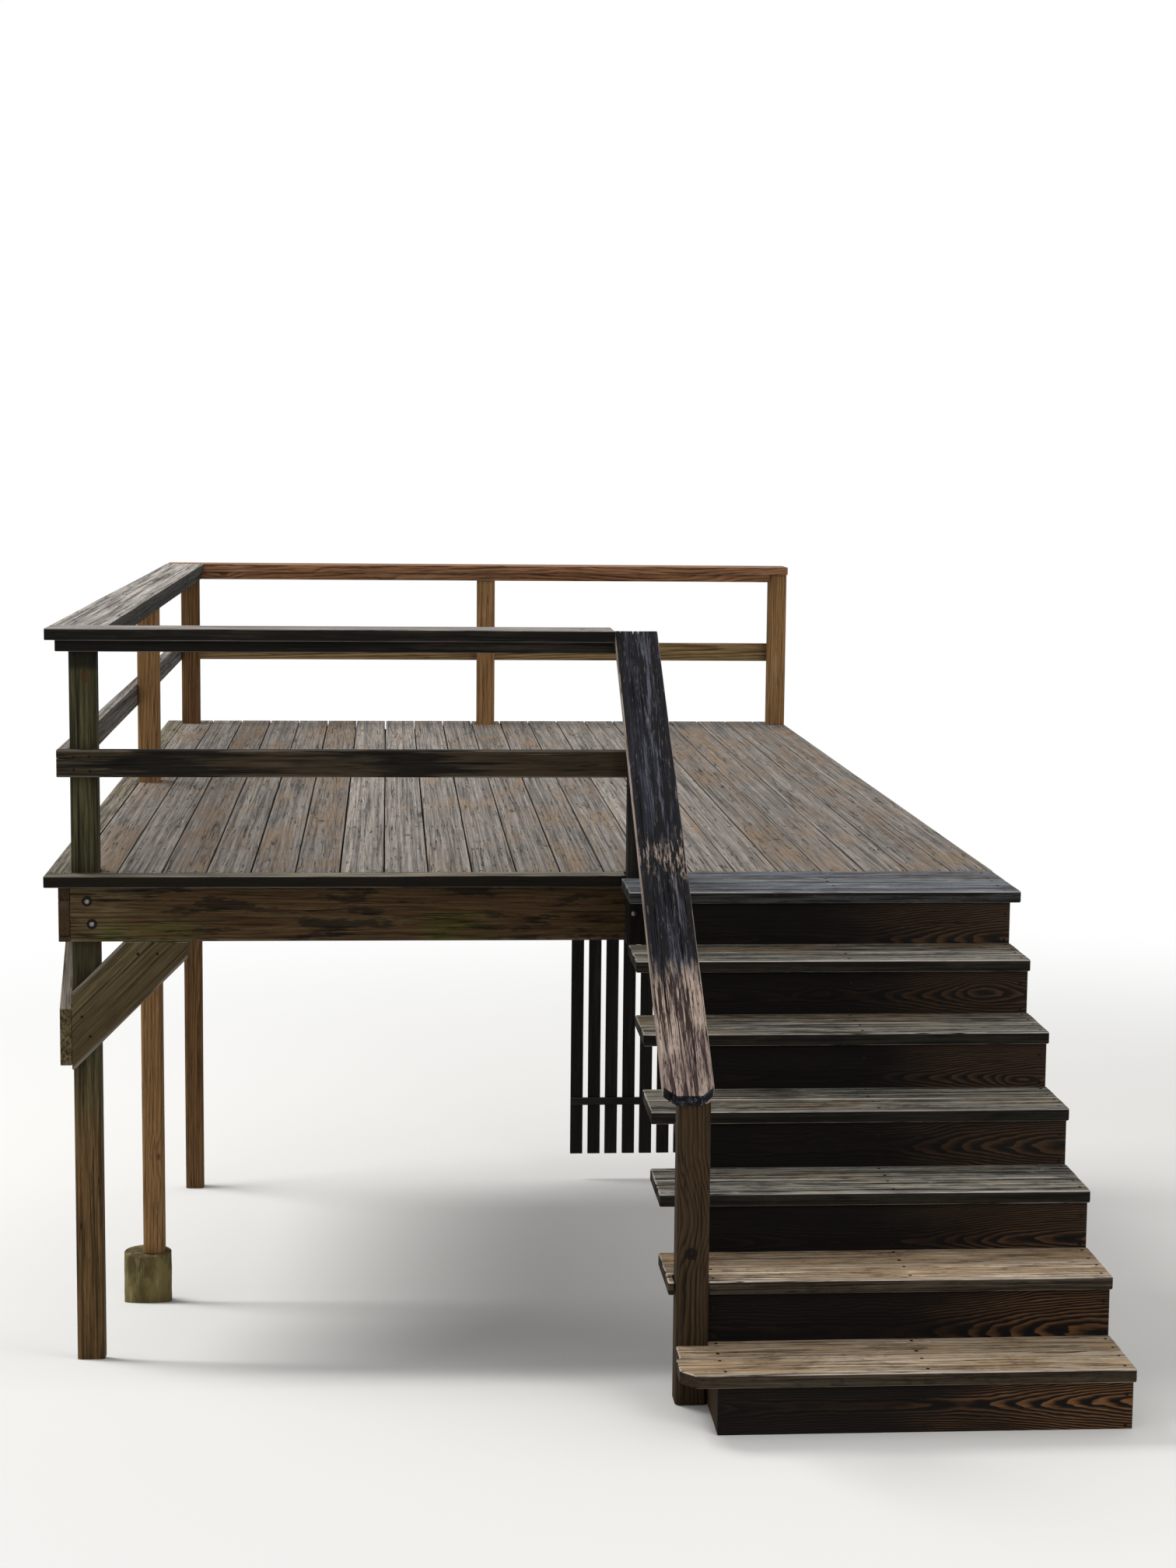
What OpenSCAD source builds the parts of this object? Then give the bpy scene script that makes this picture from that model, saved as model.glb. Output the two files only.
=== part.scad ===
// A raised wooden deck on posts, bolted along one side to a wall,
// with a railing on three sides and a flight of closed steps at one front corner.
// Seen from the front, the wall is on the right and the ground falls away to the rear.

/* [Deck] */
// Width from the outer face of the side beam to the wall
deck_w = 3085; // [2600:5:4000]
// Length from the face of the front rim to the face of the rear rim
deck_l = 5060; // [4000:10:6500]
// How far the edge of the decking hangs over the rims and the side beam
deck_over = 42; // [20:1:60]
// Thickness of the lumber that the whole deck is sawn from
lumber_t = 38; // [32:1:45]
// Depth of the joists, rims, side beam and ledger
beam_h = 184; // [140:1:235]
// Number of joists between the two rims, an even number
joist_count = 8; // [4:2:12]

/* [Decking] */
// Width of a deck board
board_w = 140; // [90:1:184]
// Gap between two deck boards
board_gap = 5; // [3:1:10]
// Clearance of a notch cut round a post
notch_gap = 3; // [2:1:6]
// Gap between the decking and the wall
wall_gap = 4; // [2:1:12]

/* [Posts] */
// Side of a square post
post_w = 89; // [80:1:100]
// Width of the eased edge along each corner of a post
post_ease = 10; // [3:1:14]
// Depth of the ground below the decking at the front left post
front_ground = 1650; // [1300:10:2400]
// Depth of the top of the concrete pier below the decking
pier_top = 2005; // [1300:5:2600]
// Depth of the ground below the decking at the rear left post
rear_ground = 2395; // [1400:5:3200]
// Diameter of the concrete pier
pier_d = 203; // [180:1:300]
// Height of the concrete pier above the ground
pier_h = 221; // [80:1:400]
// How far the centre of the pier lies outside the centre of its post
pier_shift = 28; // [0:1:40]

/* [Knee braces] */
// Width of the knee brace under the front rim
front_brace_w = 184; // [140:1:184]
// Distance from the post to the upper edge of the front brace, under the rim
front_brace_top = 172; // [100:1:260]
// Cut off the outer end of the front brace
front_brace_trim = 53; // [5:1:90]
// Width of the knee brace under the side beam
side_brace_w = 140; // [120:1:184]
// Distance from the front of the post to the upper edge of the side brace, under the beam
side_brace_top = 220; // [100:1:260]
// Cut off the outer end of the side brace
side_brace_trim = 18; // [5:1:90]
// Width of the blunt toe at the foot of a brace
brace_toe = 8; // [4:1:20]

/* [Railing] */
// Height of the top of the railing above the decking
rail_h = 800; // [700:1:1000]
// Width of the cap board on the railing
cap_w = 184; // [150:1:235]
// How far the cap hangs over the outside of the railing
cap_over = 30; // [10:1:40]
// Width of the flat board under the cap
plate_w = 140; // [130:1:145]
// Depth of the middle rail
mid_rail_h = 89; // [64:1:140]

/* [Steps] */
// Number of treads below the landing
step_count = 6; // [3:1:6]
// Rise from one step to the next
rise = 171; // [150:1:180]
// Run from one nosing to the next
run = 267; // [250:1:278]
// Width of the flight over its outer stringers
flight_w = 1114; // [900:1:1300]
// Gap between the right stringer and the wall
flight_gap = 35; // [20:1:80]
// Width of one of the two boards that make a tread
tread_board_w = 140; // [139:1:150]
// Gap between the two boards of a tread
tread_gap = 4; // [2:1:6]
// How far the treads run on past the posts on the open side
tread_over = 20; // [5:1:40]
// How far the front board of the lowest tread runs on past the newel
tread_foot_over = 10; // [4:1:40]
// Cut across the front left corner of the lowest tread
tread_clip = 42; // [10:1:50]
// Thickness of a riser board
riser_t = 19; // [16:1:25]
// Depth of the plank that a stringer is sawn from
stringer_w = 286; // [270:1:300]
// Widths of the three boards of the landing, from the deck outwards
landing_boards = [184, 140, 89];
// Gap between the boards of the landing
landing_gap = 3; // [2:1:8]

/* [Handrail] */
// Width of the flat handrail
handrail_w = 140; // [110:1:150]
// How far the centre of the handrail lies outside the centre of its posts
handrail_shift = 18; // [0:1:25]
// How far the handrail runs on past the front of the newel
handrail_over = 30; // [20:1:80]
// Cut across the two lower corners of the handrail
handrail_clip = 34; // [10:1:45]
// How far the front of the newel stands before the nosing above the lowest tread
newel_set = 17; // [5:1:40]

/* [Slatted screen] */
// Distance of the first slat from the outer face of the side beam
screen_x = 2015; // [1800:5:2200]
// Width of a slat
slat_w = 64; // [38:1:89]
// Thickness of a slat
slat_t = 19; // [12:1:25]
// Gap between two slats
slat_gap = 26; // [15:1:60]
// Depth of the foot of the slats below the decking
screen_bottom = 2259; // [1600:1:2600]
// Height of the screen's lower rail above the foot of the slats
screen_rail_up = 262; // [100:1:500]

/* [Hidden] */

// Levels, measured down from the top of the decking
board_under = -lumber_t;
beam_under = board_under - beam_h;
post_head = rail_h - 2 * lumber_t;

// The middle rail lies halfway up its posts
mid_rail_top = (post_head + mid_rail_h) / 2;
mid_rail_low = mid_rail_top - mid_rail_h;

// How far a cut starts and ends outside what it cuts
cut_room = 2 * lumber_t;

// Faces round the pier
pier_faces = 48;

// Inner faces of the frame and the rows of posts
rear_inner = deck_l - lumber_t;
ledger_face = deck_w - lumber_t;
post_x = lumber_t;
post_front_y = lumber_t;
post_rear_y = rear_inner - post_w;
post_middle_y = (post_front_y + post_rear_y) / 2;
wall_x = deck_w - wall_gap;
rear_right_x = wall_x - post_w;
rear_middle_x = (post_x + rear_right_x) / 2;

// Decking
decking_x = lumber_t + board_gap;
decking_y = lumber_t + board_gap;
decking_rear = deck_l + deck_over;
board_pitch = board_w + board_gap;
board_count = round((wall_x - decking_x + board_gap) / board_pitch);
joist_pitch = (deck_l - lumber_t) / (joist_count + 1);

// Steps
flight_left = deck_w - flight_gap - flight_w;
flight_right = flight_left + flight_w;
stair_post_x = flight_left - post_w;
tread_left = stair_post_x - tread_over;
tread_right = flight_right + wall_gap;
landing_front = lumber_t - landing_boards[0] - landing_boards[1] - landing_boards[2] - 2 * landing_gap;
tread_l = 2 * tread_board_w + tread_gap;
nosing = tread_l - run;
stair_ground = -(step_count + 1) * rise;
newel_y = nosing_y(step_count - 1) - newel_set;

// Handrail, parallel to the flight
slope = atan(rise / run);
handrail_drop = lumber_t / cos(slope);
handrail_x = stair_post_x + post_w / 2 - handrail_shift - handrail_w / 2;
handrail_l = (handrail_over - newel_y) / cos(slope);

// Colours
weathered = [0.52, 0.50, 0.46];
shaded = [0.33, 0.27, 0.20];
warm = [0.55, 0.42, 0.28];
dark = [0.30, 0.26, 0.25];
concrete = [0.62, 0.57, 0.47];

// Front edge and top of a step, where step 0 is the landing
function nosing_y(step) = landing_front - step * run;
function step_z(step) = -step * rise;

// Height of the underside of the handrail at a place along the flight
function handrail_under(y) = rail_h - handrail_drop + y * tan(slope);

// Outline of a square post with eased edges
function eased_square(side, ease) = [
    [ease, 0], [side - ease, 0], [side, ease], [side, side - ease],
    [side - ease, side], [ease, side], [0, side - ease], [0, ease]
];

// The whole deck is drawn from the corner of its frame, and stands
// in a frame whose origin is the middle of the ledger's wall face
module placed() {
    translate([-deck_w, -deck_l / 2, lumber_t + beam_h / 2])
        children();
}

// A straight board between two opposite corners
module board(low, high) {
    translate(low)
        cube(high - low);
}

module post(x, y, bottom, top) {
    translate([x, y, bottom])
        linear_extrude(top - bottom)
            polygon(eased_square(post_w, post_ease));
}

// The room that a notch leaves round a post
module post_notch(x, y) {
    board([x - notch_gap, y - notch_gap, -cut_room],
        [x + post_w + notch_gap, y + post_w + notch_gap, cut_room]);
}

module ledger_board() {
    color(shaded)
        placed()
            board([ledger_face, 0, beam_under], [deck_w, deck_l, board_under]);
}

module side_beam() {
    color(shaded)
        placed()
            board([0, 0, beam_under], [lumber_t, deck_l, board_under]);
}

module front_rim() {
    color(shaded)
        placed()
            board([lumber_t, 0, beam_under], [ledger_face, lumber_t, board_under]);
}

module rear_rim() {
    color(shaded)
        placed()
            board([lumber_t, rear_inner, beam_under], [ledger_face, deck_l, board_under]);
}

module joists() {
    color(shaded)
        placed()
            for (i = [1 : joist_count])
                board([lumber_t, i * joist_pitch, beam_under],
                    [ledger_face, i * joist_pitch + lumber_t, board_under]);
}

module deck_board(i) {
    x = decking_x + i * board_pitch;
    x_end = i == board_count - 1 ? wall_x : x + board_w;
    difference() {
        board([x, decking_y, board_under], [x_end, decking_rear, 0]);
        if (x < post_x + post_w + notch_gap)
            for (y = [post_front_y, post_middle_y, post_rear_y])
                post_notch(post_x, y);
        if (x < rear_middle_x + post_w + notch_gap && x_end > rear_middle_x - notch_gap)
            post_notch(rear_middle_x, post_rear_y);
    }
}

module deck_boards() {
    color(weathered)
        placed()
            for (i = [0 : board_count - 1])
                deck_board(i);
}

module front_edge_strip() {
    color(weathered)
        placed()
            board([-deck_over, -deck_over, board_under], [stair_post_x - notch_gap, lumber_t, 0]);
}

module left_edge_strip() {
    color(weathered)
        placed()
            board([-deck_over, decking_y, board_under], [lumber_t, decking_rear, 0]);
}

// The landing runs on past the stair post, and its first board is cut round the post
module landing_boards_set() {
    color(weathered)
        placed() {
            difference() {
                board([tread_left, lumber_t - landing_boards[0], board_under], [wall_x, lumber_t, 0]);
                board([tread_left - cut_room, -post_w - notch_gap, -cut_room],
                    [flight_left + notch_gap, cut_room, cut_room]);
            }
            board([tread_left, nosing_y(0) + landing_boards[2] + landing_gap, board_under],
                [wall_x, lumber_t - landing_boards[0] - landing_gap, 0]);
            board([tread_left, nosing_y(0), board_under], [wall_x, nosing_y(0) + landing_boards[2], 0]);
        }
}

module front_left_post() {
    color(warm)
        placed()
            post(post_x, post_front_y, -front_ground, post_head);
}

module middle_left_post() {
    color(warm)
        placed()
            post(post_x, post_middle_y, -pier_top, post_head);
}

module rear_left_post() {
    color(warm)
        placed()
            post(post_x, post_rear_y, -rear_ground, post_head);
}

module rear_middle_post() {
    color(warm)
        placed()
            post(rear_middle_x, post_rear_y, beam_under, post_head);
}

// This post stands on the decking against the wall and reaches the cap
module rear_right_post() {
    color(warm)
        placed()
            post(rear_right_x, post_rear_y, 0, rail_h - lumber_t);
}

module concrete_pier() {
    color(concrete)
        placed()
            translate([post_x + post_w / 2 - pier_shift, post_middle_y + post_w / 2, -pier_top - pier_h])
                cylinder(h = pier_h, d = pier_d, $fn = pier_faces);
}

// Outline of a knee brace at 45 degrees: along its beam from the post, and down from the beam
module knee_brace_outline(width, top, trim) {
    foot = top + width * sqrt(2);
    reach = foot - trim;
    polygon([
        [0, -top],
        [0, brace_toe - foot],
        [brace_toe, brace_toe - foot],
        [reach, -trim],
        [reach, 0],
        [top, 0]
    ]);
}

module front_knee_brace() {
    color(warm)
        placed()
            translate([post_x, lumber_t, beam_under])
                rotate([90, 0, 0])
                    linear_extrude(lumber_t)
                        knee_brace_outline(front_brace_w, front_brace_top, front_brace_trim);
}

module side_knee_brace() {
    color(warm)
        placed()
            translate([0, 0, beam_under])
                rotate([90, 0, 90])
                    linear_extrude(lumber_t)
                        knee_brace_outline(side_brace_w, side_brace_top, side_brace_trim);
}

module front_cap() {
    color(dark)
        placed()
            board([-cap_over, -cap_over, rail_h - lumber_t], [handrail_x, cap_w - cap_over, rail_h]);
}

module left_cap() {
    color(weathered)
        placed()
            board([-cap_over, cap_w - cap_over, rail_h - lumber_t],
                [cap_w - cap_over, deck_l + cap_over - cap_w, rail_h]);
}

module rear_cap() {
    color(warm)
        placed()
            board([-cap_over, deck_l + cap_over - cap_w, rail_h - lumber_t], [wall_x, deck_l + cap_over, rail_h]);
}

module front_plate() {
    color(dark)
        placed()
            board([0, 0, post_head], [flight_left, plate_w, post_head + lumber_t]);
}

module left_plate() {
    color(weathered)
        placed()
            board([0, plate_w, post_head], [plate_w, deck_l - plate_w, post_head + lumber_t]);
}

module rear_plate() {
    color(warm)
        placed()
            board([0, deck_l - plate_w, post_head], [rear_right_x, deck_l, post_head + lumber_t]);
}

module front_mid_rail() {
    color(shaded)
        placed()
            board([0, 0, mid_rail_low], [flight_left, lumber_t, mid_rail_top]);
}

module left_mid_rail() {
    color(weathered)
        placed()
            board([0, lumber_t, mid_rail_low], [lumber_t, rear_inner, mid_rail_top]);
}

module rear_mid_rail() {
    color(warm)
        placed()
            board([0, rear_inner, mid_rail_low], [wall_x, deck_l, mid_rail_top]);
}

// A post whose head is sawn to the slope of the handrail that lies on it
module sloped_post(y, bottom) {
    intersection() {
        post(stair_post_x, y, bottom, rail_h);
        translate([stair_post_x, 0, 0])
            rotate([90, 0, 90])
                linear_extrude(post_w)
                    polygon([
                        [y, bottom],
                        [y + post_w, bottom],
                        [y + post_w, handrail_under(y + post_w)],
                        [y, handrail_under(y)]
                    ]);
    }
}

// Bolted to the face of the front rim, and cut off level with its underside
module stair_post() {
    color(shaded)
        placed()
            sloped_post(-post_w, beam_under);
}

module newel_post() {
    color(warm)
        placed()
            sloped_post(newel_y, stair_ground);
}

// Flat board along the flight, its two lower corners clipped
module handrail() {
    color(dark)
        placed()
            translate([handrail_x, 0, rail_h])
                rotate([slope, 0, 0])
                    translate([0, 0, -lumber_t])
                        linear_extrude(lumber_t)
                            polygon([
                                [0, 0],
                                [0, handrail_clip - handrail_l],
                                [handrail_clip, -handrail_l],
                                [handrail_w - handrail_clip, -handrail_l],
                                [handrail_w, handrail_clip - handrail_l],
                                [handrail_w, 0]
                            ]);
}

// Outline of a stringer: a plank sawn out under the landing and under every tread
module stringer_outline() {
    back = nosing + riser_t;
    steps = [for (i = [0 : step_count]) each [
        [nosing_y(i) + back, step_z(i) + board_under],
        [nosing_y(i) + back, i < step_count ? step_z(i + 1) + board_under : stair_ground]
    ]];
    plank = stringer_w / cos(slope);
    first = steps[0];
    // Height of the lower edge of the plank at a place along the flight
    rim_edge = first[1] - plank - first[0] * tan(slope);
    foot_y = (stair_ground - rim_edge) / tan(slope);
    polygon(concat([[0, board_under]], steps, [[foot_y, stair_ground], [0, rim_edge]]));
}

module stringer(x) {
    translate([x, 0, 0])
        rotate([90, 0, 90])
            linear_extrude(lumber_t)
                stringer_outline();
}

module left_stringer() {
    color(shaded)
        placed()
            stringer(flight_left);
}

module middle_stringer() {
    color(shaded)
        placed()
            stringer(flight_left + (flight_w - lumber_t) / 2);
}

module right_stringer() {
    color(shaded)
        placed()
            stringer(flight_right - lumber_t);
}

// The two boards of a tread, laid on the stringers, from the left ends of the front and rear boards
module tread_boards(step, front_left, rear_left) {
    rear_y = nosing_y(step) + tread_board_w + tread_gap;
    board([front_left, nosing_y(step), step_z(step) + board_under],
        [tread_right, nosing_y(step) + tread_board_w, step_z(step)]);
    board([rear_left, rear_y, step_z(step) + board_under], [tread_right, rear_y + tread_board_w, step_z(step)]);
}

// The room that a tread leaves round the newel
module newel_notch(step) {
    board([stair_post_x - notch_gap, newel_y - notch_gap, step_z(step) - cut_room],
        [flight_left, newel_y + post_w + notch_gap, step_z(step) + cut_room]);
}

// The lowest tread: its rear board ends level with the newel's outer face, and its front corner is clipped
module lowest_tread() {
    left = stair_post_x - tread_foot_over;
    difference() {
        tread_boards(step_count, left, stair_post_x);
        newel_notch(step_count);
        translate([left, nosing_y(step_count), step_z(step_count) - cut_room])
            linear_extrude(2 * cut_room)
                polygon([[-cut_room, -cut_room], [tread_clip, -cut_room], [tread_clip, 0], [0, tread_clip],
                    [-cut_room, tread_clip]]);
    }
}

module tread(step) {
    color(weathered)
        placed() {
            if (step < step_count - 1)
                tread_boards(step, tread_left, tread_left);
            if (step == step_count - 1)
                difference() {
                    tread_boards(step, tread_left, tread_left);
                    newel_notch(step);
                }
            if (step == step_count)
                lowest_tread();
        }
}

module tread_1() { tread(1); }
module tread_2() { tread(2); }
module tread_3() { tread(3); }
module tread_4() { tread(4); }
module tread_5() { tread(5); }
module tread_6() { tread(6); }

// Each riser hangs from the underside of its step and ends behind the tread below
module risers() {
    color(shaded)
        placed()
            for (i = [0 : step_count]) {
                y = nosing_y(i) + nosing;
                bottom = i < step_count ? step_z(i + 1) + board_under : stair_ground;
                board([flight_left, y, bottom], [flight_right, y + riser_t, step_z(i) + board_under]);
            }
}

module screen_slats() {
    count = floor((ledger_face - screen_x + slat_gap) / (slat_w + slat_gap));
    color(dark)
        placed()
            for (i = [0 : count - 1]) {
                x = screen_x + i * (slat_w + slat_gap);
                board([x, deck_l, -screen_bottom], [x + slat_w, deck_l + slat_t, board_under]);
            }
}

module screen_rail() {
    z = screen_rail_up - screen_bottom;
    color(dark)
        placed()
            board([screen_x, deck_l - slat_t, z], [ledger_face, deck_l, z + lumber_t]);
}

ledger_board();
side_beam();
front_rim();
rear_rim();
joists();
deck_boards();
front_edge_strip();
left_edge_strip();
landing_boards_set();
front_left_post();
middle_left_post();
rear_left_post();
rear_middle_post();
rear_right_post();
concrete_pier();
front_knee_brace();
side_knee_brace();
front_cap();
left_cap();
rear_cap();
front_plate();
left_plate();
rear_plate();
front_mid_rail();
left_mid_rail();
rear_mid_rail();
stair_post();
newel_post();
handrail();
left_stringer();
middle_stringer();
right_stringer();
tread_1();
tread_2();
tread_3();
tread_4();
tread_5();
tread_6();
risers();
screen_slats();
screen_rail();
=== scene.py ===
"""Dresses the solids of a raised wooden deck with steps: cracked lumber, nails, bolts and weathered wood."""

import math
import random

import bpy
from mathutils import Matrix, Vector, noise


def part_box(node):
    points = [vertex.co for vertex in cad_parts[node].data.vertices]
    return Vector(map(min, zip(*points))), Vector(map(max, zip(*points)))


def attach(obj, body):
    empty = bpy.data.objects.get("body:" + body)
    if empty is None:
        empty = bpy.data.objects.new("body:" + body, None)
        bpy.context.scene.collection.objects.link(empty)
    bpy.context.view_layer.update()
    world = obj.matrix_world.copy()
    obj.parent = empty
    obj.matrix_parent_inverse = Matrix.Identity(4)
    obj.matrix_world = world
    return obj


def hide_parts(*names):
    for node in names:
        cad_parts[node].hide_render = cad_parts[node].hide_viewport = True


bl_info = {
    "name": "Raised Deck",
    "version": (1, 0, 0),
    "blender": (4, 5, 0),
    "location": "View3D > Sidebar > Deck",
    "description": "Dresses the packed solids of a raised wooden deck with steps",
    "category": "Object",
}

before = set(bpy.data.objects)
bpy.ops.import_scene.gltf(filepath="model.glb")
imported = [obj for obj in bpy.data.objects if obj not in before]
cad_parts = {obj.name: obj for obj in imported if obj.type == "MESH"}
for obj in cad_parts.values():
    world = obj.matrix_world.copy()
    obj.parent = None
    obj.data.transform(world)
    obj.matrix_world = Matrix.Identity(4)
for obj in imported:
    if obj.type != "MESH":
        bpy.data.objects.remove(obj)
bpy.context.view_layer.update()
# The materials by the names of their finishes, which make_finishes fills in
FINISHES = {}

X, Y, Z = Vector((1, 0, 0)), Vector((0, 1, 0)), Vector((0, 0, 1))

# Sizes of the deck that its solids were made with, in metres, in the deck's own frame:
# X from the outer face of the side beam, Y from the front rim, Z from the top of the decking
DECK_W, DECK_L, LUMBER, BEAM = 3.085, 5.060, 0.038, 0.184
POST, BOARD, BOARD_PITCH, BOARD_COUNT, JOIST_COUNT = 0.089, 0.140, 0.145, 21, 8
LEFT_POSTS_Y, REAR_MIDDLE_POST_X = (0.0825, 2.530, 4.9775), 1.515
RISE, RUN, STEP_COUNT, LANDING_FRONT = 0.171, 0.267, 6, -0.381
RAIL, FLIGHT_LEFT, FLIGHT_W = 0.800, 1.936, 1.114
NEWEL_Y, NEWEL_STEP, TREAD_BACK = -1.733, 5, 0.017
MID_RAIL_LOW, MID_RAIL_TOP = 0.3175, 0.4065
SLOPE = math.atan(RISE / RUN)
UPHILL = Vector((0, math.cos(SLOPE), math.sin(SLOPE)))
BRACE_RUN = Vector((1, 0, 1)).normalized()
SIDE_BRACE_RUN = Vector((0, 1, 1)).normalized()

# Drying cracks: half their length along a face, their reach in from an end, and how far both keep from a
# board's edges. Then, as shares of the board's length, the longest half length and what is kept clear at its
# ends, and last the share that runs in its narrow faces, where those are wide enough
FACE_SPLIT, END_SPLIT, SPLIT_EDGE, END_SPLIT_EDGE = (0.08, 0.32), (0.03, 0.10), 0.012, 0.015
SPLIT_MOST, SPLIT_CLEAR, NARROW_SHARE, NARROW_LEAST = 0.4, 0.1, 0.4, 0.05

# Nails: how far they stray on the deck, the steps and the middle rails, how deep those in a cap are sunk, and
# how far they keep from the edge of a board, the middle of a post and the edge of a rail
DECK_STRAY, STEP_STRAY, RAIL_STRAY, NAIL_SUNK = 0.006, 0.004, 0.003, 0.0008
NAIL_EDGE, NAIL_POST, NAIL_RAIL_EDGE = 0.028, 0.065, 0.022
# How far the front edge strip pushes the first row of nails back
STRIP_COVER = 0.045
# Places behind a step's front edge, and depths below a tread for those in its riser
TREAD_NAILS, LANDING_NAILS = (0.030, 0.112, 0.175, 0.255), (0.028, 0.062, 0.118, 0.206, 0.270, 0.380)
RISER_NAILS = (0.040, 0.120)
# Along each cap, then the line across it that they follow and how far they stray from that line
FRONT_CAP_NAILS, FRONT_CAP_LINE, CAP_STRAY = (0.06, 0.105, 0.9, 1.70), 0.05, 0.02
LEFT_CAP_NAILS, LEFT_CAP_LINE, LEFT_CAP_STRAY = (0.25, 2.50, 2.56, 4.80), 0.08, 0.03
REAR_CAP_NAILS, REAR_CAP_LINE = (0.06, 0.11, 1.50, 1.54, 3.03), 5.0
# Along the front, the left and the rear middle rail
RAIL_NAILS = ((0.058, 0.107), (0.062, 0.105, 2.508, 2.552, 4.955, 4.999),
              (0.060, 0.105, 1.495, 1.535, 3.015, 3.055))
# Place and height of the nails in each brace, and of the bolts in the rim, side beam, stair post and newel
BRACE_NAILS = ((0.072, -0.470), (0.098, -0.535), (0.255, -0.262), (0.318, -0.262))
RIM_BOLTS = ((0.093, -0.088), (0.108, -0.163))
BEAM_BOLTS = [(y, z) for y in (0.083, 2.530, 4.977) for z in (-0.085, -0.165)]
STAIR_POST_BOLTS, NEWEL_BOLTS = ((1.868, -0.070), (1.868, -0.118)), ((1.887, -0.772), (1.887, -1.10))
# Thickness of a nail's head and of a washer, how far out of the wood their middles lie, and the height of a
# bolt's head as a share of half a ball's
NAIL_T, NAIL_AT, WASHER_T, WASHER_AT, BOLT_DOME = 0.003, -0.0007, 0.0028, 0.0008, 0.55
# Pier: how far inside its solid it is cast, which leaves room for its swells, its rounded edge, the height of
# the slices that its side is cut into, and the closeness and height of its broad and its fine swells
PIER_ROOM, PIER_EASE, PIER_SLICE, PIER_SWELLS = 0.002, 0.006, 0.012, ((14, 0.0014), (60, 0.0005))
# Faces that meet at less than this angle are shaded as one
SMOOTH_ANGLE = math.radians(50)

# Ground under the feet, as places along the deck and heights from the top of the decking
GROUND = [(-1.60, -1.197), (0.08, -1.650), (2.53, -2.226), (4.98, -2.395)]

# Where the photograph was taken from, in the frame of the row
EYE = Vector((-2.0174, -11.480, 1.517))
YAW, PITCH, ROLL = 0.0729, 0.1209, -0.0092
FOCAL_PX, PHOTO_H, SENSOR = 3550, 2016, 36
# Size of the floor, how far from the deck it starts to fade into the background, and where it is gone
FLOOR_SIZE, FADE_FROM, FADE_TO = 60, 4.5, 11.0
# Lamps by name, with place, power in watts and width, and the point that they shine at
LAMPS = (("key", (-7.5, 3.0, 8.5), 900, 5.0), ("fill", (4.0, -12.0, 5.5), 330, 6.0))
LAMP_AIM, WORLD_LIGHT = Vector((-1.5, -0.5, -0.6)), 0.62


def row(x, y, z):
    """A place in the deck's own frame, as the row's frame has it."""
    return Vector((x - DECK_W, y - DECK_L / 2, z + LUMBER + BEAM / 2))


def colour(red, green, blue):
    """A colour as a screen shows it, 0 to 255, turned into scene values."""
    parts = [part / 255 for part in (red, green, blue)]
    return tuple(p / 12.92 if p <= 0.04045 else ((p + 0.055) / 1.055) ** 2.4 for p in parts)


def tint(name, description, red, green, blue):
    return bpy.props.FloatVectorProperty(name=name, description=description, subtype="COLOR", size=3,
                                         min=0, max=1, default=colour(red, green, blue))


def length(name, description, default):
    return bpy.props.FloatProperty(name=name, description=description, default=default, min=0, unit="LENGTH")


class DeckSizes(bpy.types.PropertyGroup):
    """Sizes of what the lumber's solids leave out."""
    ease: length("Eased edge", "Width of the eased edges of the lumber", 0.003)
    bow: length("Bow", "How far a dried board bows along its length", 0.0014)
    cup: length("Cup", "How far a dried board cups across its width", 0.0008)
    split_width: length("Split width", "Widest part of a drying crack", 0.003)
    split_depth: length("Split depth", "Depth of a drying crack", 0.009)
    nail_head: length("Nail head", "Radius of a nail's head", 0.0048)
    bolt_head: length("Bolt head", "Radius of a carriage bolt's head", 0.0085)
    washer: length("Washer", "Radius of the washer under a bolt", 0.0165)


class DeckColours(bpy.types.PropertyGroup):
    """Colours of the wood, the moss, the concrete and the steel."""
    grey: tint("Weathered grey", "Lightest grey of old decking", 156, 147, 137)
    grey_dark: tint("Dark grey", "Darkest grey of old decking", 58, 57, 58)
    tan: tint("Tan", "Decking where the grey has worn off", 132, 113, 94)
    brown: tint("Brown", "Wood in the shade of the deck", 62, 47, 30)
    ring: tint("Growth ring", "Late wood of a growth ring", 66, 40, 21)
    # Also the black of the painted shadow under the cap on the front post
    mould_and_shadow: tint("Mould", "Black mould on damp wood", 15, 13, 12)
    # Painted shade: the colour that faces which don't look up are darkened towards
    side_shade: tint("Damp", "Faces that look down or sideways, and stay damp", 19, 15, 9)
    riser: tint("Riser", "Early wood of the risers", 15, 11, 8)
    riser_ring: tint("Riser ring", "Late wood of the risers", 116, 80, 50)
    rim: tint("Rim", "Face of the front rim", 76, 60, 38)
    moss: tint("Moss", "Green growth on the front rim", 66, 74, 18)
    post: tint("Post", "Sheltered face of a post", 108, 80, 50)
    post_olive: tint("Front post", "Damp face of the front post", 46, 45, 28)
    newel: tint("Newel", "Wood of the newel", 55, 42, 26)
    rail_dark: tint("Dark rail", "Blackened face of the front rails", 19, 17, 15)
    handrail: tint("Handrail", "Blue black face of the handrail", 14, 14, 20)
    # Also the colour of the painted sunlight and highlight on the handrail
    flake_and_sunlight: tint("Flakes", "Pale flakes on the handrail", 184, 164, 150)
    silver: tint("Silver", "Silver grey side rails", 166, 159, 152)
    # Partly the rear middle rail's own tan, and partly painted sunlight
    orange: tint("Orange", "Rear rails, little weathered", 150, 125, 86)
    screen: tint("Screen", "Slats of the screen", 26, 24, 22)
    concrete: tint("Concrete", "Cast concrete of the pier", 116, 104, 66)
    steel: tint("Steel", "Galvanised steel", 132, 132, 130)
    rust: tint("Rust", "Rust on old steel", 34, 27, 22)
    floor: tint("Floor", "Plain floor", 236, 235, 232)


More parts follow.
